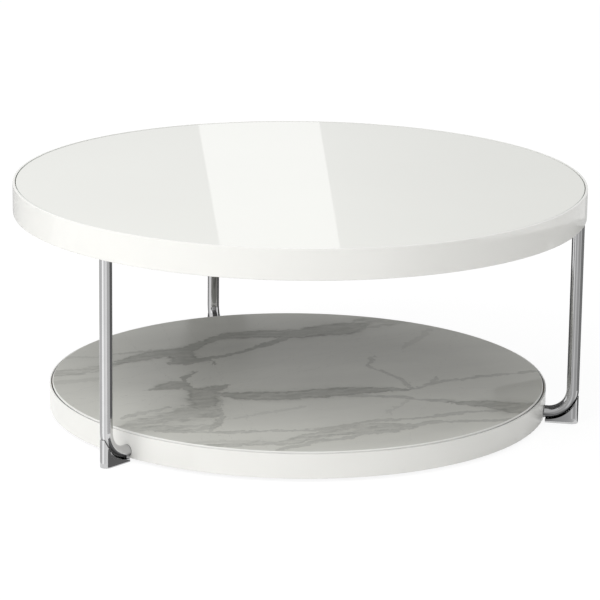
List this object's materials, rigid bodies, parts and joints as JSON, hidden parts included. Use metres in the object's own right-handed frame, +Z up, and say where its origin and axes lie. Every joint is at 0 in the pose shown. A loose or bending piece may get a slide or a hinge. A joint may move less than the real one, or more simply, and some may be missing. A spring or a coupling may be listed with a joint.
{
  "type": "round cocktail table",
  "caption": "Low round two-tier table: white-rimmed painted glass top over a marble-effect lower shelf, carried on bent chrome tube legs with corner feet.",
  "frame": {"origin": "on the table's vertical axis, at floor level", "axes": "+Z up; one leg stands at the back on +Y, the other two at the front left and front right; X runs left to right"},
  "size_m": [0.9299, 0.93, 0.382],
  "materials": {
    "painted_glass": "tempered glass, polished, white lacquer on its back",
    "clear_pad": "clear silicone",
    "rim_white": "white semi-gloss edging",
    "board": "raw particle board",
    "base_grey": "fibreboard with a dark grey foil",
    "paper_core": "brown paper",
    "marble_effect": "marble-effect laminate on board, satin",
    "leg_chrome": "bright plated steel",
    "foot_chrome": "bright plated casting",
    "zinc_steel": "zinc plated",
    "glide": "matt"
  },
  "bodies": {
    "root": {"top_glass": "painted_glass", "glass_pads": "clear_pad", "top_rim": "rim_white", "top_panel": "board", "top_frame_ring": "board", "top_honeycomb": "paper_core", "top_base_panel": "base_grey", "leg_block_inserts": "zinc_steel", "leg_plate_screws": "zinc_steel", "shelf_panel": "marble_effect", "shelf_rim": "rim_white", "shelf_frame_ring": "board", "shelf_honeycomb": "paper_core", "shelf_base_panel": "base_grey", "shelf_bolts": "zinc_steel", "shelf_washers": "zinc_steel", "foot_pins": "zinc_steel", "leg_block_left": "board", "leg_plate_left": "leg_chrome", "leg_tube_left": "leg_chrome", "leg_plug_left": "zinc_steel", "foot_left": "foot_chrome", "foot_glide_left": "glide", "leg_block_right": "board", "leg_plate_right": "leg_chrome", "leg_tube_right": "leg_chrome", "leg_plug_right": "zinc_steel", "foot_right": "foot_chrome", "foot_glide_right": "glide", "leg_block_rear": "board", "leg_plate_rear": "leg_chrome", "leg_tube_rear": "leg_chrome", "leg_plug_rear": "zinc_steel", "foot_rear": "foot_chrome", "foot_glide_rear": "glide"}
  },
  "joints": []
}
